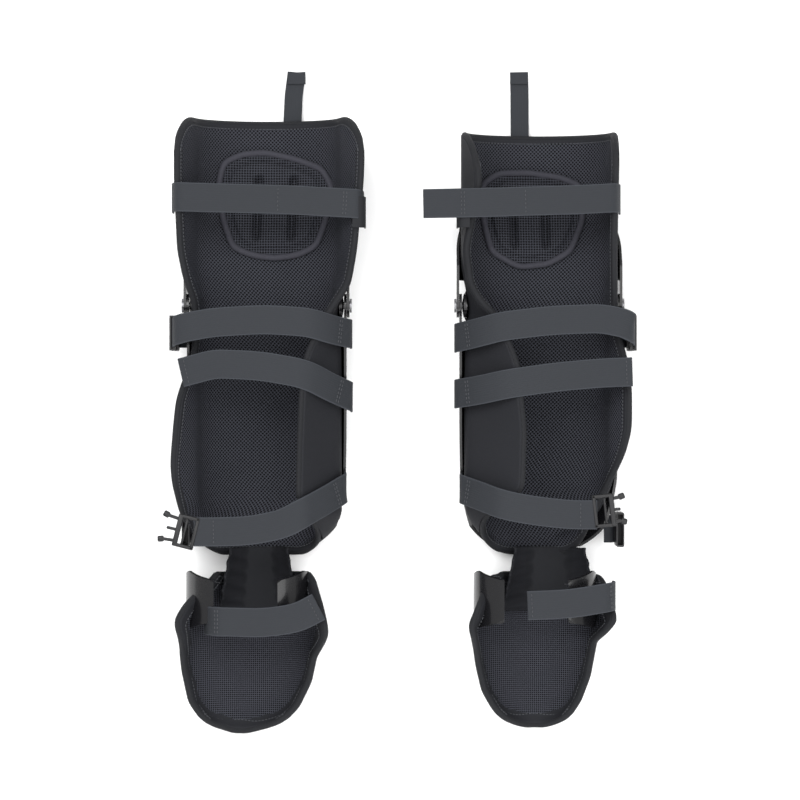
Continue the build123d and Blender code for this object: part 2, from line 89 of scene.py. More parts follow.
# Rims of the long lining: along the guard, across it, and height, in millimetres
RIMS = {
    ("left", "outer"): [
        (290, -87, 91), (261, -88, 93), (218, -88, 94), (150, -85, 90), (118, -79, 78), (100, -72, 73),
        (60, -70, 71), (44, -72, 73), (20, -80, 80), (0, -87, 86), (-30, -90, 88), (-64, -93, 86),
        (-85, -92, 80), (-112, -87, 64), (-135, -79, 44), (-156, -66, 30),
    ],
    ("left", "inner"): [
        (290, 94, 91), (248, 96, 94), (218, 95, 94), (150, 88, 91), (118, 82, 88), (92, 62, 92),
        (60, 46, 97), (42, 39, 99), (8, 35, 100), (-48, 33, 100), (-98, 32, 98), (-112, 42, 78),
        (-124, 50, 56), (-146, 50, 32), (-156, 46, 27),
    ],
    ("right", "outer"): [
        (274, -74, 90), (247, -75, 92), (150, -73, 89), (117, -74, 82), (92, -75, 77), (67, -77, 76),
        (44, -84, 80), (12, -89, 85), (-29, -89, 84), (-54, -83, 76), (-87, -67, 56), (-127, -50, 34),
        (-156, -44, 25),
    ],
    ("right", "inner"): [
        (274, 69, 90), (217, 61, 93), (150, 74, 88), (117, 69, 86), (100, 58, 90), (86, 43, 95),
        (56, 30, 99), (34, 22, 100), (1, 19, 100), (-30, 16, 99), (-90, 18, 96), (-104, 38, 78),
        (-114, 56, 58), (-133, 54, 40), (-148, 51, 29), (-156, 46, 25),
    ],
}
FOOT_RIMS = {
    ("left", "outer"): [
        (-176, -50, 40), (-190, -64, 56), (-206, -80, 74), (-222, -90, 80), (-236, -87, 72), (-254, -85, 52),
        (-275, -84, 42), (-304, -78, 38), (-318, -69, 34), (-328, -59, 31), (-334, -50, 29), (-339, -38, 28),
    ],
    ("left", "inner"): [
        (-176, 36, 44), (-182, 44, 56), (-206, 52, 74), (-222, 56, 80), (-236, 58, 72), (-246, 53, 58),
        (-256, 45, 48), (-284, 39, 42), (-309, 27, 36), (-322, 14, 32), (-331, -2, 30), (-336, -14, 29),
        (-339, -26, 28),
    ],
    ("right", "outer"): [
        (-176, -62, 40), (-190, -70, 56), (-214, -74, 74), (-222, -75, 78), (-230, -66, 66), (-240, -56, 54),
        (-253, -54, 48), (-278, -50, 42), (-303, -41, 38), (-318, -31, 34), (-326, -22, 31), (-331, -12, 29),
        (-334, 0, 28),
    ],
    ("right", "inner"): [
        (-176, 44, 44), (-186, 52, 58), (-206, 58, 74), (-226, 66, 78), (-237, 63, 70), (-252, 60, 54),
        (-267, 58, 46), (-293, 52, 40), (-312, 41, 36), (-323, 30, 32), (-330, 18, 29), (-334, 8, 28),
    ],
}
LINER_TOP = {"left": 282.0, "right": 267.0}
LINER_END = -155.0
KNEE_BEND = (60.0, 128.0)
KNEE_BEND_Z = 60.0
ANKLE_BEND = (-150.0, -200.0)
ANKLE_BEND_Z = 14.0
BINDING = 3.2
RIM_HEIGHT = 0.08


def smoothed(values, passes):
    for _ in range(passes):
        values[1:-1] = (values[:-2] + 2 * values[1:-1] + values[2:]) / 4
    return values


def resampled(points, count):
    """Points evenly spaced along a line, and the line's length."""
    points = np.array(points, float)
    run = np.concatenate([[0], np.cumsum(np.linalg.norm(np.diff(points, axis=0), axis=1))])
    even = np.linspace(0, run[-1], count)
    return np.stack([np.interp(even, run, points[:, k]) for k in range(points.shape[1])], 1), run[-1]


class Trough:
    """An open trough's inner face between two rims, worked out once. Everything in it is in millimetres."""

    columns = 81

    def __init__(self, rims, low, high, half, bottom, crown, corners, passes, centred=False):
        self.low, self.high, self.corners = low, high, corners
        self.ys = np.linspace(low, high, int((high - low) / 2) + 1)
        edges = []
        for rim in rims:
            table = np.array(sorted(rim), float)
            edges.append([smoothed(np.interp(self.ys, table[:, 0], table[:, k]), passes) for k in (1, 2)])
        edges[0][0] += BINDING
        edges[1][0] -= BINDING * np.interp(self.ys, (95, 130), (0.3, 1.0))
        half, bottom, crown = (np.interp(self.ys, *zip(*table)) for table in (half, bottom, crown))
        bottom = smoothed(bottom, 6)
        self.rows, self.widths = [], []
        for k in range(len(self.ys)):
            rim = [(across[k], height[k]) for across, height in edges]
            middle = (rim[0][0] + rim[1][0]) / 2 if centred else 0.0
            reach = min(half[k], (rim[1][0] - rim[0][0]) / 2) if centred else half[k]
            row, width = resampled(self.section(middle, reach, bottom[k], crown[k], *rim), self.columns)
            self.rows.append(smoothed(row, 5))
            self.widths.append(width)
        self.rows, self.widths = np.array(self.rows), np.array(self.widths)

    @staticmethod
    def section(middle, half, bottom, crown, outer, inner):
        """The line across: outer rim, round the bottom, inner rim."""
        depth = crown - bottom

        def leave(rim):
            z = min(crown, rim[1] - 0.55 * abs(abs(rim[0] - middle) - half) - 4)
            return math.asin(min(0.98, max(0.0, crown - z) / depth))

        angles = np.linspace(leave(outer), math.pi - leave(inner), 60)
        around = [(middle - half * math.cos(a), crown - depth * math.sin(a)) for a in angles]
        return [outer, *around, inner]

    def point(self, s, y):
        """Across position and height at share s from the outer rim, at y."""
        k = np.clip((y - self.low) / (self.ys[1] - self.ys[0]), 0, len(self.ys) - 1.001)
        row = int(k)
        part = k - row
        column = s * (self.columns - 1)
        c = min(int(column), self.columns - 2)
        f = column - c
        here = self.rows[row] * (1 - part) + self.rows[row + 1] * part
        return here[c] * (1 - f) + here[c + 1] * f

    def height(self, u, y):
        """Height of the inner face at u across, on the bottom of the trough."""
        row = self.rows[int(np.clip((y - self.low) / (self.ys[1] - self.ys[0]), 0, len(self.ys) - 1))]
        low, high = np.argmin(row[:, 0]), np.argmax(row[:, 0])
        return float(np.interp(u, row[low:high + 1, 0], row[low:high + 1, 1]))

    def width(self, y):
        return float(np.interp(y, self.ys, self.widths))

    def ends(self, s):
        """Lowest and highest y at share s, where the corners are round."""
        low, high = self.low, self.high
        for_top, for_bottom = self.corners
        reach = min(s, 1 - s) * self.width(high)
        if reach < for_top:
            high -= for_top - math.sqrt(for_top**2 - (for_top - reach) ** 2)
        reach = min(s, 1 - s) * self.width(low)
        if reach < for_bottom:
            low += for_bottom - math.sqrt(for_bottom**2 - (for_bottom - reach) ** 2)
        return low, high

    def places(self, side, across, along):
        """The bmesh of the inner face, facing up, with a UV map in metres."""

        def y_at(s, t):
            low, high = self.ends(s)
            return low + (high - low) * t

        def place(s, t):
            y = y_at(s, t)
            u, z = self.point(s, y)
            return at(side, u, y, z)

        def lay(s, t):
            y = y_at(s, t)
            return (s - 0.5) * self.width(y) * MM, y * MM

        bm = sheet_mesh(across, along, place, lay)
        facing_up(bm)
        bm.normal_update()
        return bm


def leg_trough(side):
    return Trough(
        [RIMS[side, "outer"], RIMS[side, "inner"]], LINER_END, LINER_TOP[side],
        half=[(50, 69.5), (85, 65.0), (105, 66.0), (135, 72.3)],
        bottom=[(4, 10.8), (44, 33.0), (144, 33.0), (184, 10.8)],
        crown=[(0, 60.0)], corners=(34, 22), passes=14,
    )


def foot_trough(side):
    reach = FOOT_RIMS[side, "outer"][-1][0]
    return Trough(
        [FOOT_RIMS[side, "outer"], FOOT_RIMS[side, "inner"]], reach + 4.5, -178.0,
        half=[(-338, 30.0), (-325, 48.0), (-300, 58.0), (-270, 63.0), (-222, 62.0), (-178, 42.0)],
        bottom=[(-336, 26.0), (-330, 20.0), (-320, 14.0), (-304, 10.8), (-178, 10.8)],
        crown=[(-338, 30.0), (-300, 40.0), (-250, 48.0), (-222, 66.0), (-190, 50.0), (-178, 40.0)],
        corners=(0, 15), passes=5, centred=True,
    )


# ---------------------------------------------------------------- mesh helpers


def sheet_mesh(across, along, place, uv=None, closed=False):
    """A bmesh grid whose vertices go where place(s, t) says, with a UV map in metres from uv(s, t)."""
    bm = bmesh.new()
    bmesh.ops.create_grid(bm, x_segments=across, y_segments=along, size=1.0)
    layer = bm.verts.layers.float_vector.new("lay")
    for v in bm.verts:
        s, t = (v.co.x + 1) / 2, (v.co.y + 1) / 2
        if uv:
            v[layer] = Vector((*uv(s, t), 0))
        v.co = place(s, t)
    if uv:
        uv_layer = bm.loops.layers.uv.verify()
        for f in bm.faces:
            for loop in f.loops:
                loop[uv_layer].uv = loop.vert[layer].xy
    if closed:
        bmesh.ops.remove_doubles(bm, verts=bm.verts[:], dist=1e-6)
    return bm


def finished(bm, name, *materials, smooth=True):
    mesh = bpy.data.meshes.new(name)
    for f in bm.faces:
        f.smooth = smooth
    bm.to_mesh(mesh)
    bm.free()
    obj = bpy.data.objects.new(name, mesh)
    bpy.context.collection.objects.link(obj)
    for m in materials:
        mesh.materials.append(m)
    return obj


def thicken(obj, thickness, offset=-1.0, back=0, rim=0, bevel=0.0):
    mod = obj.modifiers.new("Thickness", "SOLIDIFY")
    mod.thickness = thickness
    mod.offset = offset
    mod.use_even_offset = True
    mod.material_offset = back
    mod.material_offset_rim = rim
    if bevel:
        edge = obj.modifiers.new("Edge", "BEVEL")
        edge.width = bevel
        edge.segments = 2
        edge.limit_method = "ANGLE"
        edge.angle_limit = math.radians(50)


def facing_up(bm):
    """Turns the whole open sheet so that most of it faces up."""
    bm.normal_update()
    if sum(f.normal.z * f.calc_area() for f in bm.faces) <= 0:
        bmesh.ops.reverse_faces(bm, faces=bm.faces[:])


def tube(name, points, radius, material):
    """A round closed ring along points."""
    curve = bpy.data.curves.new(name, "CURVE")
    curve.dimensions = "3D"
    curve.bevel_depth = radius
    curve.bevel_resolution = 4
    spline = curve.splines.new("POLY")
    spline.points.add(len(points) - 1)
    for p, co in zip(spline.points, points):
        p.co = (*co, 1)
    spline.use_cyclic_u = True
    holder = bpy.data.objects.new(name, curve)
    bpy.context.collection.objects.link(holder)
    mesh = bpy.data.meshes.new_from_object(holder.evaluated_get(bpy.context.evaluated_depsgraph_get()))
    bpy.data.objects.remove(holder)
    bpy.data.curves.remove(curve)
    obj = bpy.data.objects.new(name, mesh)
    bpy.context.collection.objects.link(obj)
    mesh.materials.clear()
    mesh.materials.append(material)
    for poly in mesh.polygons:
        poly.use_smooth = True
    return obj


def stitches(name, points, normals, material):
    """A row of thread stitches along points, each lying on the cloth."""
    points = [Vector(p) for p in points]
    run = [0.0]
    for a, b in zip(points, points[1:]):
        run.append(run[-1] + (b - a).length)
    count = int(run[-1] / STITCH_PITCH)
    bm = bmesh.new()
    k = 0
    for n in range(count):
        d = (n + 0.5) * run[-1] / count
        while run[k + 1] < d:
            k += 1
        part = (d - run[k]) / (run[k + 1] - run[k])
        middle = points[k].lerp(points[k + 1], part)
        along = (points[k + 1] - points[k]).normalized()
        normal = Vector(normals[k]).normalized()
        across = along.cross(normal).normalized()
        turn = Matrix((along, across, along.cross(across))).transposed().to_4x4()
        place = Matrix.Translation(middle) @ turn @ Matrix.Diagonal((STITCH_LENGTH, THREAD, THREAD, 1))
        bmesh.ops.create_cube(bm, size=1.0, matrix=place)
    return finished(bm, name, material)


def rounded(points, radius, step=1.5):
    """A line through points with each corner eased over radius, in millimetres."""
    points = [np.array(p, float) for p in points]
    line = [points[0]]
    for before, corner, after in zip(points, points[1:], points[2:]):
        run_in, run_out = corner - before, after - corner
        cut = min(radius, 0.45 * np.linalg.norm(run_in), 0.45 * np.linalg.norm(run_out))
        start = corner - run_in / np.linalg.norm(run_in) * cut
        end = corner + run_out / np.linalg.norm(run_out) * cut
        for t in np.linspace(0, 1, 9):
            line.append((1 - t) ** 2 * start + 2 * t * (1 - t) * corner + t**2 * end)
    line.append(points[-1])
    length = sum(np.linalg.norm(b - a) for a, b in zip(line, line[1:]))
    return resampled(line, max(4, int(length / step)))


def block(bm, size, centre, bevel=0.0, segments=2, turn=None):
    """Adds a box with rounded edges to bm, in metres."""
    place = Matrix.Translation(centre) @ (turn or Matrix()) @ Matrix.Diagonal((*size, 1))
    made = bmesh.ops.create_cube(bm, size=1.0, matrix=place)
    if bevel:
        edges = list({e for v in made["verts"] for e in v.link_edges})
        bmesh.ops.bevel(
            bm, geom=edges, offset=bevel, offset_type="OFFSET", segments=segments,
            profile=0.5, material=-1, affect="EDGES",
        )


# ---------------------------------------------------------------- materials


class Sock:
    """One shader value that can be used in sums."""

    def __init__(self, make, link):
        self.make, self.link = make, link

    def _math(self, operation, *values):
        return self.make.node("ShaderNodeMath", values, operation=operation)

    def __add__(self, other):
        return self._math("ADD", self, other)

    __radd__ = __add__

    def __sub__(self, other):
        return self._math("SUBTRACT", self, other)

    def __rsub__(self, other):
        return self._math("SUBTRACT", other, self)

    def __mul__(self, other):
        return self._math("MULTIPLY", self, other)

    __rmul__ = __mul__

    def sine(self):
        return self._math("SINE", self)

    def size(self):
        return self._math("ABSOLUTE", self)

    def clamped(self):
        return self.make.node("ShaderNodeMath", (self, 0.0), operation="ADD", use_clamp=True)


class Finish:
    """A material being made: its Principled shader and the nodes before it."""

    def __init__(self, name, **constants):
        self.material = bpy.data.materials.new(name)
        self.material.use_nodes = True
        self.nodes = self.material.node_tree.nodes
        self.links = self.material.node_tree.links
        self.shader = self.nodes["Principled BSDF"]
        for socket, value in constants.items():
            self.shader.inputs[socket.replace("_", " ")].default_value = value

    def node(self, kind, values=(), output=0, **settings):
        """Any node: its settings first, then what its sockets take, by order or by name."""
        node = self.nodes.new(kind)
        for key, value in settings.items():
            setattr(node, key, value)
        pairs = values.items() if isinstance(values, dict) else enumerate(values)
        for key, value in pairs:
            if isinstance(value, Sock):
                self.links.new(value.link, node.inputs[key])
            else:
                node.inputs[key].default_value = value
        return Sock(self, node.outputs[output])

    def place(self, source="Object"):
        """The surface's own coordinates."""
        return self.node("ShaderNodeTexCoord", output=source)

    def axes(self, vector):
        split = self.nodes.new("ShaderNodeSeparateXYZ")
        self.links.new(vector.link, split.inputs[0])
        return [Sock(self, split.outputs[k]) for k in range(3)]

    def noise(self, vector, scale, detail=3.0):
        values = {"Vector": vector, "Scale": scale, "Detail": detail, "Roughness": 0.55}
        return self.node("ShaderNodeTexNoise", values)

    def mix(self, share, first, second):
        """A colour between two colours."""
        values = {0: share, 6: first, 7: second}
        return self.node("ShaderNodeMix", values, output=2, data_type="RGBA")

    def bump(self, height, strength, distance):
        values = {"Height": height, "Strength": strength, "Distance": distance}
        return self.node("ShaderNodeBump", values)

    def into(self, socket, value):
        """Drives a socket of the shader."""
        self.links.new(value.link, self.shader.inputs[socket])


def shade(colour, gain=1.0):
    return (*[c * gain for c in colour[:3]], 1.0)


def lattice_cloth(name, base, thread, pitch, coords="UV", turned=True):
    """Spacer mesh: light threads crossing over holes, with painted shade in the holes."""
    made = Finish(name, Roughness=0.85, Specular_IOR_Level=0.15)
    place = made.place(coords)
    u, v, _ = made.axes(place)
    k = math.pi / pitch
    diagonal = k * 0.7071
    a, b = ((u + v) * diagonal, (u - v) * diagonal) if turned else (u * k, v * k)
    ridges = 1 - a.sine().size() * b.sine().size()
    shaded_hole = ((0.66 - ridges) * 4.0).clamped()
    big = made.noise(place, 22.0)
    fine = made.noise(place, 900.0, 2.0)
    # Painted shade: the holes get the mesh ground colour dimmed to 8 percent, standing in for the shade
    # inside them.
    colour = made.mix(shaded_hole, shade(thread), shade(base, 0.08))
    colour = made.mix((big * 0.3).clamped(), colour, shade(base))
    made.into("Base Color", colour)
    made.into("Roughness", fine * 0.2 + 0.72)
    made.into("Normal", made.bump(ridges + fine * 0.15, 0.8, pitch * 0.35))
    return made.material


def plain_cloth(name, base, grain=700.0):
    """Close smooth knit."""
    made = Finish(name, Roughness=0.85, Specular_IOR_Level=0.2)
    place = made.place("Object")
    fine, big = made.noise(place, grain, 3.0), made.noise(place, 16.0)
    made.into("Base Color", made.mix((fine * 0.6 + big * 0.4).clamped(), shade(base, 0.7), shade(base, 1.35)))
    made.into("Roughness", fine * 0.2 + 0.7)
    made.into("Normal", made.bump(fine, 0.35, 0.0005))
    return made.material


def webbing_cloth(name, base, rib=0.0011, cross=0.0022, edge=None):
    """Woven webbing: fine ribs across, faint columns along, and, if edge is given, a painted highlight along
    both edges.
    """
    made = Finish(name, Roughness=0.8, Specular_IOR_Level=0.25)
    place = made.place("UV")
    u, v, _ = made.axes(place)
    ribs = (u * (math.pi / rib)).sine().size()
    columns = (v * (math.pi / cross)).sine().size()
    fine = made.noise(place, 1400.0, 2.0)
    big = made.noise(place, 30.0)
    weave = ribs * 0.6 + columns * 0.4
    colour = made.mix((weave * 0.5 + fine * 0.5).clamped(), shade(base, 0.72), shade(base, 1.15))
    colour = made.mix((big * 0.5).clamped(), colour, shade(base, 1.05))
    if edge:
        # Painted highlight: a thin band along each edge is lit to 1.6 times the webbing colour.
        rim = ((v.size() - edge) * 2000.0).clamped()
        colour = made.mix(rim, colour, shade(base, 1.6))
    made.into("Base Color", colour)
    made.into("Roughness", fine * 0.15 + 0.68)
    made.into("Normal", made.bump(weave, 0.5, 0.0004))
    return made.material


def moulded(name, base, rough, grain=0.0, coat=0.0, scuff=0.0):
    """Moulded plastic, glossy or grained."""
    made = Finish(name, Roughness=rough, Coat_Weight=coat, Coat_Roughness=0.06, Specular_IOR_Level=0.3)
    place = made.place("Object")
    big, fine = made.noise(place, 9.0), made.noise(place, 500.0, 4.0)
    made.into("Base Color", made.mix((fine * 0.7).clamped(), shade(base, 0.85), shade(base, 1.2)))
    made.into("Roughness", big * 0.08 + fine * scuff + rough)
    made.into("Normal", made.bump(fine, 0.1 + grain, 0.0002 + 0.0004 * grain))
    return made.material


def metal(name, base):
    made = Finish(name, Metallic=1.0, Roughness=0.38)
    place = made.place("Object")
    fine = made.noise(place, 260.0, 4.0)
    made.into("Base Color", made.mix(fine, shade(base, 0.7), shade(base, 1.2)))
    made.into("Roughness", fine * 0.25 + 0.28)
    return made.material


def finishes():
    """Every finish, made once."""
    if "Lining mesh" not in bpy.data.materials:
        look = bpy.context.scene.guard_looks
        lattice_cloth("Lining mesh", look.mesh_colour, look.thread_colour, 0.0027)
        lattice_cloth("Pad mesh", look.mesh_colour, look.thread_colour, 0.0027, "UV", False)
        lattice_cloth("Foot mesh", look.mesh_colour, look.thread_colour, 0.0021, "Object", False)
        plain_cloth("Smooth knit", look.knit_colour)
        plain_cloth("Dark foam", look.binding_colour, 400.0)
        # edge=0.0132 gives the straps a painted highlight along both edges.
        webbing_cloth("Strap webbing", look.webbing_colour, edge=0.0132)
        webbing_cloth("Binding tape", look.binding_colour, 0.0009, 0.0018)
        plain_cloth("Piping tape", look.piping_colour, 420.0)
        webbing_cloth("Hook tape", look.binding_colour, 0.0016, 0.0016)
        plain_cloth("Thread", look.thread_shine, 900.0)
        moulded("Gloss shell", look.shell_colour, 0.2, coat=0.25, scuff=0.05)
        moulded("Slider plastic", look.shell_colour, 0.42, grain=0.3, scuff=0.25)
        moulded("Buckle plastic", look.shell_colour, 0.34, grain=0.25, scuff=0.1)
        metal("Blackened rivet", look.rivet_colour)
    return bpy.data.materials


# ---------------------------------------------------------------- settings


def colour(name, description, value):
    """A colour setting."""
    return bpy.props.FloatVectorProperty(
        name=name, description=description, subtype="COLOR", size=3, min=0, max=1, default=value
    )


def length(name, description, value, low, high):
    """A length setting, in metres."""
    return bpy.props.FloatProperty(
        name=name, description=description, unit="LENGTH", default=value, min=low, max=high
    )


class GuardLooks(bpy.types.PropertyGroup):
    """Colours of the guards."""

    mesh_colour: colour("Mesh", "Ground of the spacer mesh", (0.0040, 0.0044, 0.0075))
    thread_colour: colour("Mesh thread", "Threads of the spacer mesh", (0.040, 0.042, 0.052))
    knit_colour: colour("Knit", "Smooth knit on the wings", (0.010, 0.0105, 0.013))
    binding_colour: colour("Binding", "Edge tape and piping", (0.0085, 0.009, 0.011))
    piping_colour: colour("Piping", "Piping round the thigh pads", (0.030, 0.030, 0.038))
    webbing_colour: colour("Webbing", "Straps", (0.018, 0.020, 0.024))
    thread_shine: colour("Stitches", "Sewing thread", (0.045, 0.047, 0.052))
    shell_colour: colour("Plastic", "Shells and buckles", (0.006, 0.006, 0.007))
    rivet_colour: colour("Rivets", "Blackened steel", (0.22, 0.22, 0.23))


class GuardSizes(bpy.types.PropertyGroup):
    """Sizes of the soft pieces."""

    foam: length("Foam", "Thickness of the linings", 0.007, 0.003, 0.01)
    binding: length("Binding", "Radius of the bound edge", BINDING * MM, 0.002, 0.006)
    webbing: length("Webbing", "Width of the straps", 0.029, 0.02, 0.04)
    webbing_thickness: length("Webbing thickness", "Thickness of the straps", 0.0021, 0.001, 0.004)
    camera_distance: length("Camera distance", "Height of the camera over the ground", 3.0, 1.0, 10.0)
    view_width: length("View width", "Width that the camera covers at the rims", 0.8, 0.3, 3.0)


# ---------------------------------------------------------------- pieces


class GUARDS_OT_stage(bpy.types.Operator):
    """Pale floor, soft lights and the camera overhead"""

    bl_idname = "guards.stage"
    bl_label = "Stage"

    def execute(self, context):
        sizes = context.scene.guard_sizes
        bm = bmesh.new()
        bmesh.ops.create_grid(bm, x_segments=2, y_segments=2, size=6.0)
        floor = finished(bm, "floor", smooth=False)
        paint = Finish("Pale floor", Roughness=0.9)
        grain = paint.noise(paint.place("Object"), 3.0)
        paint.into("Base Color", paint.mix(grain, (0.93, 0.93, 0.93, 1), (0.95, 0.95, 0.95, 1)))
        floor.data.materials.append(paint.material)
        floor.location.z = -0.0005
        for name, place, power, size in (
            ("key", (-0.9, 0.9, 2.2), 46, 1.6),
            ("fill", (1.3, -0.3, 2.0), 30, 1.8),
            ("low", (0.0, -1.7, 1.5), 22, 1.6),
            ("top", (0.0, 0.2, 2.8), 34, 2.4),
        ):
            light = bpy.data.lights.new(name, "AREA")
            light.energy, light.size = power, size
            lamp = bpy.data.objects.new(name, light)
            lamp.location = place
            lamp.rotation_euler = (-Vector(place)).to_track_quat("-Z", "Y").to_euler()
            context.collection.objects.link(lamp)
        world = bpy.data.worlds.new("Studio")
        world.use_nodes = True
        world.node_tree.nodes["Background"].inputs[0].default_value = (1, 1, 1, 1)
        world.node_tree.nodes["Background"].inputs[1].default_value = 0.75
        context.scene.world = world
        camera = bpy.data.cameras.new("Overhead")
        camera.lens = camera.sensor_width * (sizes.camera_distance - RIM_HEIGHT) / sizes.view_width
        camera.clip_end = 50
        eye = bpy.data.objects.new("Overhead", camera)
        eye.location = (0, 0, sizes.camera_distance)
        context.collection.objects.link(eye)
        context.scene.camera = eye
        context.scene.view_settings.view_transform = "Standard"
        return {"FINISHED"}


def bent_at_knee(obj, side):
    """Bakes the piece's placement into its mesh; the bend line across the knee is worked out but not used, so
    nothing bends.
    """
    start, end = (at(side, 0, y, KNEE_BEND_Z) for y in KNEE_BEND)
    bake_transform(obj)


def bound_edge(side, name, bm, sizes, look, inset=0.0052):
    """Tape round a sheet's edge and a row of stitches just inside it: (tape, stitches)."""
    edge = border(bm)
    rim = np.array([v.co - v.normal * sizes.foam * 0.5 for v in edge])
    for _ in range(6):
        rim = (np.roll(rim, 1, 0) + 2 * rim + np.roll(rim, -1, 0)) / 4
    points, normals = [], []
    for v in edge:
        way = Vector((0, 0, 0))
        for e in v.link_edges:
            if not e.is_boundary:
                way += e.other_vert(v).co - v.co
        if way.length:
            way.normalize()
        points.append(v.co + way * inset + v.normal * 0.0003)
        normals.append(v.normal.copy())
    tape = tube(f"{side}_{name}_binding", rim, sizes.binding, look["Binding tape"])
    thread = stitches(f"{side}_{name}_stitches", points, normals, look["Thread"])
    return tape, thread


def border(bm):
    """A sheet's edge vertices in order."""
    start = next(e for e in bm.edges if e.is_boundary).verts[0]
    loop, before, here = [start], None, start
    while True:
        step = [e.other_vert(here) for e in here.link_edges if e.is_boundary]
        ahead = step[0] if step[0] != before else step[1]
        if ahead == start:
            return loop
        loop.append(ahead)
        before, here = here, ahead


def edge_band(bm, width, slot):
    """Gives faces nearer the edge than width another material slot."""
    edge = border(bm)
    tree = kdtree.KDTree(len(edge))
    for k, v in enumerate(edge):
        tree.insert(v.co, k)
    tree.balance()
    for f in bm.faces:
        if tree.find(f.calc_center_median())[2] < width:
            f.material_index = slot


class GUARDS_OT_long_lining(bpy.types.Operator):
    """The long mesh-faced lining from thigh to ankle, with its bound and stitched edge"""

    bl_idname = "guards.long_lining"
    bl_label = "Long lining"

    def execute(self, context):
        look, sizes = finishes(), context.scene.guard_sizes
        for side in SIDES:
            bm = leg_trough(side).places(side, 100, 190)
            edge_band(bm, 0.0045, 1)
            pieces = bound_edge(side, "lining", bm, sizes, look)
            lining = finished(bm, f"{side}_long_lining", look["Lining mesh"], look["Smooth knit"])
            thicken(lining, sizes.foam, back=1, rim=1)
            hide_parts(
                *[f"{side}_{n}" for n in (
                    "thigh_liner", "shin_liner", "shin_wing_inner", "shin_wing_outer", "knee_pad"
                )]
            )
            for piece in (lining, *pieces):
                bent_at_knee(piece, side)
        return {"FINISHED"}


class GUARDS_OT_foot_lining(bpy.types.Operator):
    """The foot's mesh-faced lining with its ankle wings, and the folded neck above it"""

    bl_idname = "guards.foot_lining"
    bl_label = "Foot lining"

    def execute(self, context):
        look, sizes = finishes(), context.scene.guard_sizes
        for side in SIDES:
            bm = foot_trough(side).places(side, 72, 90)
            edge_band(bm, 0.0105, 1)
            pieces = bound_edge(side, "foot", bm, sizes, look, 0.0105)
            lining = finished(bm, f"{side}_foot_lining", look["Foot mesh"], look["Smooth knit"])
            thicken(lining, sizes.foam, back=1, rim=1)
            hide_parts(f"{side}_foot_liner")
            for piece in (lining, *pieces):
                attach(piece, f"{side}_foot")
            self.neck(side, look)
        return {"FINISHED"}

    @staticmethod
    def neck(side, look):
        """The ankle gusset: a channel whose side walls lie in folds."""
        low, high = (-40.0, 22.0) if side == "left" else (-50.0, 26.0)
        middle, half = (low + high) / 2, (high - low) / 2

        def place(s, t):
            y = -214 + 64 * t
            across = 2 * s - 1
            wall = max(0.0, abs(across) - 0.35) / 0.65
            fold = math.sin(2 * math.pi * (y + 6 * across) / 14.5)
            spread = half * (1 + 0.42 * (1 - t)) + 0.5 * fold * wall
            z = 16.0 + 31.0 * wall**1.3 * (0.7 + 0.3 * math.sin(math.pi * t)) + 3.4 * fold * wall**0.5
            return at(side, middle + spread * across * (1 - 0.12 * wall**3), y, z)

        bm = sheet_mesh(56, 64, place, lambda s, t: (s * 0.08, t * 0.064))
        facing_up(bm)
        for f in bm.faces:
            across = (f.calc_center_median().x - at(side, middle, 0, 0).x) / MM
            f.material_index = 1 if abs(across) < half * 0.62 else 0
        gusset = finished(bm, f"{side}_neck_folds", look["Smooth knit"], look["Dark foam"])
        thicken(gusset, 0.0024)
        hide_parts(f"{side}_ankle_gusset")
        start, end = (at(side, 0, y, ANKLE_BEND_Z) for y in ANKLE_BEND)
        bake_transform(gusset)


PADS = {
    "left": [
        (-51, 218), (-46, 242), (-27, 251), (-4, 253), (27, 246), (55, 235), (66, 214), (58, 181), (49, 156),
        (30, 147), (6, 144), (-16, 147), (-36, 155), (-46, 183),
    ],
    "right": [
        (57, 219), (40, 231), (7, 232), (-25, 227), (-46, 217), (-46, 183), (-33, 151), (-10, 138), (20, 135),
        (47, 150), (55, 181),
    ],
}
PAD_RIBS = {"left": [(-8, -14), (27, 22)], "right": [(26, 24), (-8, -8)]}


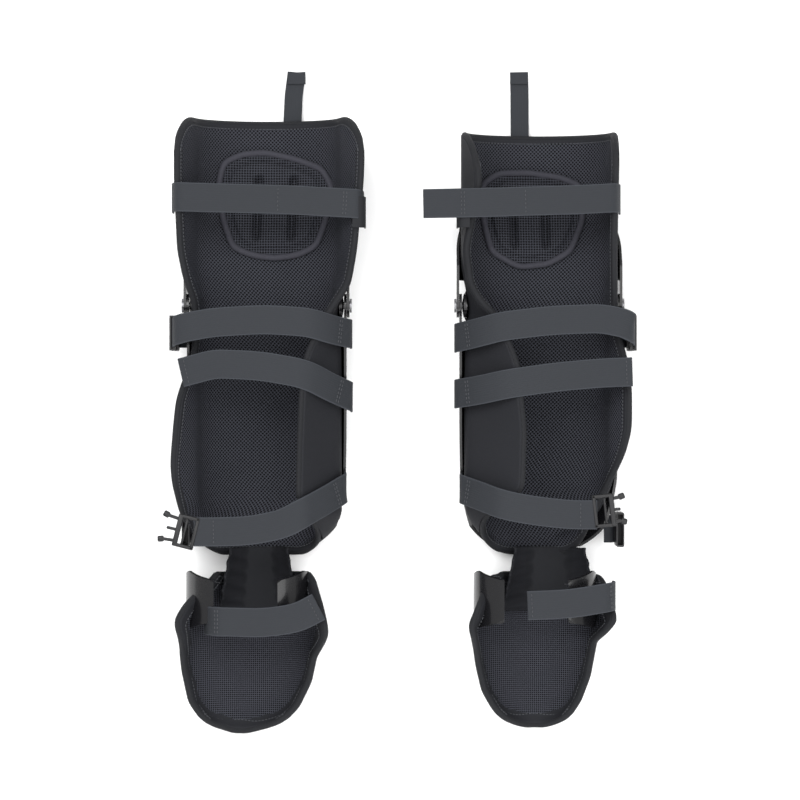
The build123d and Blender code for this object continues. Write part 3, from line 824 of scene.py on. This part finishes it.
class GUARDS_OT_thigh_pads(bpy.types.Operator):
    """The sewn thigh pads with their piping, middle rib and pressed grooves"""

    bl_idname = "guards.thigh_pads"
    bl_label = "Thigh pads"

    def execute(self, context):
        look = finishes()
        for side in SIDES:
            trough = leg_trough(side)
            ring = np.array(PADS[side], float)
            outline = self.eased(ring)
            centre = outline.mean(0)
            top, bottom = outline[:, 1].max(), outline[:, 1].min()

            def surface(u, y, r):
                crown = 11.0 * (1 - r**6)
                for high_u, low_u in PAD_RIBS[side]:
                    line = low_u + (high_u - low_u) * (y - bottom) / (top - bottom)
                    inside = min(1.0, max(0.0, (top - 22 - y) / 6))
                    inside *= min(1.0, max(0.0, (y - bottom - 16) / 6))
                    crown -= 9.0 * inside * math.exp(-(((u - line) / 3.6) ** 2))
                crown -= 3.4 * math.exp(-(((r - 0.84) / 0.035) ** 2))
                return trough.height(u, y) + max(crown, -1.5) + 0.6

            def place(s, t):
                k = s * len(outline)
                a, b = outline[int(k) % len(outline)], outline[(int(k) + 1) % len(outline)]
                rim = a + (b - a) * (k - int(k))
                u, y = centre + (rim - centre) * t
                return at(side, u, y, surface(u, y, t))

            def lay(s, t):
                p = place(s, t)
                return p.x, p.y

            bm = sheet_mesh(144, 44, place, lay, closed=True)
            facing_up(bm)
            pad = finished(bm, f"{side}_sewn_thigh_pad", look["Pad mesh"])
            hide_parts(f"{side}_thigh_pad")
            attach(pad, f"{side}_thigh")
            for name, share, radius, lift in (("piping", 1.0, 0.0034, 2.2),):
                line = []
                for p in outline:
                    u, y = centre + (p - centre) * share
                    line.append(at(side, u, y, trough.height(u, y) + lift))
                cord = tube(f"{side}_pad_{name}", line, radius, look["Piping tape"])
                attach(cord, f"{side}_thigh")
        return {"FINISHED"}

    @staticmethod
    def eased(ring, count=144, passes=9):
        """The closed outline, evenly spaced, with its corners eased."""
        closed, _ = resampled(np.vstack([ring, ring[:1]]), count + 1)
        line = closed[:-1]
        for _ in range(passes):
            line = (np.roll(line, 1, 0) + 2 * line + np.roll(line, -1, 0)) / 4
        return line


# Strap centre lines from the inner side to the outer: across, along and height, in millimetres
STRAPS = {
    ("left", "thigh_strap"): [
        (97, 193, 70), (97, 194, 88), (93, 195, 99), (20, 199, 100.6), (-60, 201, 100.6),
        (-88, 202, 99), (-93, 202, 86), (-94, 202, 60),
    ],
    ("right", "thigh_strap"): [
        (117, 195, 99.6), (60, 196, 100.6), (-40, 199, 100.6), (-74, 201, 98.5), (-79, 201, 86),
        (-81, 201, 60),
    ],
    ("left", "upper_knee_strap"): [
        (84, 66, 58), (86, 66, 74), (66, 70, 96), (44, 77, 107.5), (0, 80, 106), (-52, 77, 103),
        (-80, 72, 100), (-90, 69, 96), (-93.5, 67, 80),
    ],
    ("right", "upper_knee_strap"): [
        (84, 62, 58), (85, 62, 74), (62, 67, 96), (40, 73, 107), (-10, 79, 105), (-60, 81, 102),
        (-84, 76, 99), (-92, 71, 95), (-94.5, 68, 80),
    ],
    ("left", "lower_knee_strap"): [
        (85, 2, 58), (86, 3, 70), (66, 12, 90), (40, 26, 107.5), (-5, 34, 106.5), (-50, 36, 103),
        (-72, 30, 100), (-84, 27, 97),
    ],
    ("right", "lower_knee_strap"): [
        (84, 6, 58), (85, 6, 72), (60, 10, 94), (34, 16, 107), (-16, 23, 106), (-62, 27, 102),
        (-91, 28, 99),
    ],
    ("left", "calf_strap"): [
        (78, -86, 57), (80, -88, 68), (62, -99, 88), (38, -112, 106.5), (18, -123, 106),
        (-16, -130, 102.5), (-50, -131, 99.5), (-71, -131, 98.6),
    ],
    ("right", "calf_strap"): [
        (78, -88, 57), (80, -89, 68), (62, -95, 88), (38, -104, 106), (6, -110, 104), (-30, -114, 101),
        (-56, -114, 99),
    ],
    ("left", "instep_strap"): [
        (-62, -221, 62), (-58, -221, 78), (-48, -221, 89), (0, -222, 92), (32, -217, 91),
        (53, -206, 89.5),
    ],
    ("right", "instep_strap"): [
        (-74, -196, 62), (-76, -196, 76), (-68, -197, 88), (-30, -203, 92), (13, -205, 90.5),
    ],
}


def ribbon(name, side, route, width, thickness, material, ease, lengthwise=False):
    """A strip of webbing along a route, built as a thickened sheet."""
    line, run = rounded(route, ease)
    line = smoothed(line, 3)
    points = [at(side, *p) for p in line]
    ups = []
    for k, p in enumerate(points):
        ahead = points[min(k + 1, len(points) - 1)] - points[max(k - 1, 0)]
        ahead.normalize()
        base = Vector((1, 0, 0)) if lengthwise else Vector((0, 1, 0))
        ups.append((base - ahead * base.dot(ahead)).normalized())

    def place(s, t):
        k = min(int(t * (len(points) - 1)), len(points) - 2)
        f = t * (len(points) - 1) - k
        middle, wide = points[k].lerp(points[k + 1], f), ups[k].lerp(ups[k + 1], f)
        return middle + wide * (s - 0.5) * width

    bm = sheet_mesh(10, max(8, len(points)), place, lambda s, t: (t * run * MM, (s - 0.5) * width))
    facing_up(bm)
    piece = finished(bm, name, material)
    thicken(piece, thickness, offset=0.0, bevel=thickness * 0.3)
    return piece


class GUARDS_OT_straps(bpy.types.Operator):
    """The woven straps, each bent along its own route"""

    bl_idname = "guards.straps"
    bl_label = "Straps"

    def execute(self, context):
        look, sizes = finishes(), context.scene.guard_sizes
        for (side, name), route in STRAPS.items():
            strap = ribbon(f"{side}_{name}_webbing", side, route, sizes.webbing, sizes.webbing_thickness,
                           look["Strap webbing"], ease=STRAP_EASE)
            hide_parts(f"{side}_{name}")
            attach(strap, f"{side}_{name}")
            thread = seams(f"{side}_{name}_seams", side, route, SEAMS[name], sizes, look["Thread"])
            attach(thread, f"{side}_{name}")
        return {"FINISHED"}


# How far from a corner a strap starts to bend, in millimetres
STRAP_EASE = 16.0

# Where each strap is sewn across, as the share of its length from the inner end
SEAMS = {
    "thigh_strap": (0.16, 0.175, 0.44),
    "upper_knee_strap": (0.14, 0.155),
    "lower_knee_strap": (0.14, 0.155, 0.97),
    "calf_strap": (0.13, 0.145, 0.9),
    "instep_strap": (0.2, 0.22, 0.96),
}


def seams(name, side, route, shares, sizes, material):
    """Rows of stitches across a strap."""
    line, _ = rounded(route, STRAP_EASE)
    line = smoothed(line, 3)
    bm = bmesh.new()
    half = sizes.webbing / 2 - 0.0022
    for share in shares:
        k = int(share * (len(line) - 2)) + 1
        middle = at(side, *line[k])
        ahead = (at(side, *line[k + 1]) - at(side, *line[k - 1])).normalized()
        wide = (Vector((0, 1, 0)) - ahead * ahead.y).normalized()
        normal = ahead.cross(wide)
        if normal.z < 0:
            normal = -normal
        count = int(2 * half / STITCH_PITCH)
        for n in range(count):
            reach = -half + (n + 0.5) * 2 * half / count
            spot = middle + wide * reach + normal * (sizes.webbing_thickness / 2)
            turn = Matrix((wide, ahead, wide.cross(ahead))).transposed().to_4x4()
            block(bm, (0.0024, 0.0009, 0.0008), spot, turn=turn)
    return finished(bm, name, material)


class GUARDS_OT_tabs(bpy.types.Operator):
    """The pull tabs, the patches at the thigh straps' ends and the webbing that holds the sockets"""

    bl_idname = "guards.tabs"
    bl_label = "Tabs"

    def execute(self, context):
        look, sizes = finishes(), context.scene.guard_sizes
        for side in SIDES:
            low, high = (self.local(side, p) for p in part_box(f"{side}_pull_tab"))
            u, width = (low[0] + high[0]) / 2, abs(high[0] - low[0]) * MM
            lean = 3.0 if side == "left" else 0.5
            route = [(u - lean / 2, low[1] - 8, 6.1), (u, high[1] - 26, 6.4), (u + lean, high[1] - 3, 6.6),
                     (u + lean, high[1] - 0.5, 8.2), (u + lean, high[1] - 14, 9.4)]
            tab = ribbon(f"{side}_folded_pull_tab", side, route, width, 0.0018, look["Strap webbing"],
                         ease=3.0, lengthwise=True)
            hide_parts(f"{side}_pull_tab")
            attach(tab, f"{side}_thigh")
            low, high = (self.local(side, p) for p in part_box(f"{side}_thigh_strap_tab"))
            y, edge = (low[1] + high[1]) / 2, max(low[0], high[0])
            route = [(edge - 12, y, 98.3), (edge - 3, y, 97.6), (edge + 1.0, y, 92),
                     (edge + 0.4, y, low[2] + 1)]
            patch = ribbon(f"{side}_hook_patch", side, route, 0.031, 0.0014, look["Hook tape"], ease=5.0)
            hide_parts(f"{side}_thigh_strap_tab")
            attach(patch, f"{side}_thigh")
            for name, first in (("upper_knee_socket", True), ("calf_socket", False)):
                low, high = (self.local(side, p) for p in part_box(f"{side}_{name}"))
                u, y = (low[0] + high[0]) / 2, (low[1] + high[1]) / 2
                route = [(u + 15, y, 28), (u + 8, y, 30.5), (u + 1.5, y, low[2] - 4), (u, y, low[2] + 5)]
                strip = ribbon(f"{side}_{name}_webbing", side, route, 0.028, 0.0018, look["Strap webbing"],
                               ease=6.0)
                if first:
                    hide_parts(f"{side}_socket_webbing")
                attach(strip, f"{side}_shin")
        return {"FINISHED"}

    @staticmethod
    def local(side, p):
        return (p.x - AXIS[side]) * INWARD[side] / MM, p.y / MM, p.z / MM


class GUARDS_OT_calf_plugs(bpy.types.Operator):
    """The plugs on the calf straps: a frame with a bar, two sprung side prongs and a middle guide"""

    bl_idname = "guards.calf_plugs"
    bl_label = "Calf plugs"

    def execute(self, context):
        look = finishes()
        for side in SIDES:
            u, y, angle = (-79.0, -131.0, 14.0) if side == "left" else (-63.0, -110.0, 6.0)
            reach = 1.0 if side == "left" else 0.72
            turn = Matrix.Rotation(-INWARD[side] * math.radians(angle), 4, "Z")
            bm = bmesh.new()

            def add(across, along, size, bevel=0.0009, tilt=0.0, lift=0.0):
                spin = Matrix.Rotation(-INWARD[side] * math.radians(tilt), 4, "Z")
                spot = at(side, u, y, 98.0 + lift)
                spot += turn.to_3x3() @ Vector((INWARD[side] * across * MM, along * MM, 0))
                block(bm, [v * MM for v in size], spot, bevel, 3, turn @ spin)

            for along in (-14.6, 14.6):
                add(1.0, along, (19.5, 3.6, 5.6))
            add(9.2, 0, (3.4, 32.6, 5.6))
            add(-1.2, 0, (2.6, 29.0, 3.0), lift=-1.2)
            add(-8.0, 0, (5.0, 32.6, 5.8))
            for way in (-1, 1):
                add(-8 - 7.5 * reach, way * 11.6, (15 * reach, 3.2, 4.2), tilt=way * 5.0)
                add(-8 - 14.5 * reach, way * 12.6, (6.5, 6.2, 4.6), 0.0016, tilt=way * 16.0)
            add(-8 - 6.0 * reach, 0, (11 * reach, 3.0, 3.2))
            plug = finished(bm, f"{side}_calf_buckle_plug", look["Buckle plastic"])
            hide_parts(f"{side}_calf_plug")
            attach(plug, f"{side}_calf_strap")
        return {"FINISHED"}


class GUARDS_OT_hard_parts(bpy.types.Operator):
    """Finishes on the shells, cups, sliders, rivets and buckles that are shown as they are"""

    bl_idname = "guards.hard_parts"
    bl_label = "Hard parts"

    def execute(self, context):
        look = finishes()
        for finish, names in (
            ("Gloss shell", ("shin_shell", "thigh_shell", "knee_cup", "ankle_cup_outer", "ankle_cup_inner",
                             "instep_shell")),
            ("Slider plastic", ("knee_wear_pad",)),
            ("Blackened rivet", ("knee_rivets", "strap_rivets")),
            ("Buckle plastic", ("upper_knee_socket", "calf_socket", "upper_knee_plug")),
        ):
            for side in SIDES:
                for name in names:
                    for slot in bpy.data.objects[f"{side}_{name}"].material_slots:
                        slot.material = look[finish]
        return {"FINISHED"}


OPERATORS = [
    GUARDS_OT_stage, GUARDS_OT_long_lining, GUARDS_OT_foot_lining, GUARDS_OT_thigh_pads, GUARDS_OT_straps,
    GUARDS_OT_tabs, GUARDS_OT_calf_plugs, GUARDS_OT_hard_parts,
]


class GUARDS_PT_build(bpy.types.Panel):
    """Settings and the steps that build the guards, in order"""

    bl_idname = "GUARDS_PT_build"
    bl_label = "Leg guards"
    bl_space_type = "VIEW_3D"
    bl_region_type = "UI"
    bl_category = "Leg guards"

    def draw(self, context):
        for group in (context.scene.guard_sizes, context.scene.guard_looks):
            for key in group.__annotations__:
                self.layout.prop(group, key)
        for step in OPERATORS:
            self.layout.operator(step.bl_idname)


CLASSES = [GuardLooks, GuardSizes, *OPERATORS, GUARDS_PT_build]


def register():
    for cls in CLASSES:
        bpy.utils.register_class(cls)
    bpy.types.Scene.guard_looks = bpy.props.PointerProperty(type=GuardLooks)
    bpy.types.Scene.guard_sizes = bpy.props.PointerProperty(type=GuardSizes)


def unregister():
    del bpy.types.Scene.guard_sizes
    del bpy.types.Scene.guard_looks
    for cls in reversed(CLASSES):
        bpy.utils.unregister_class(cls)


def main():
    register()
    for step in OPERATORS:
        getattr(bpy.ops.guards, step.bl_idname.split(".")[1])()


if __name__ == "__main__":
    main()
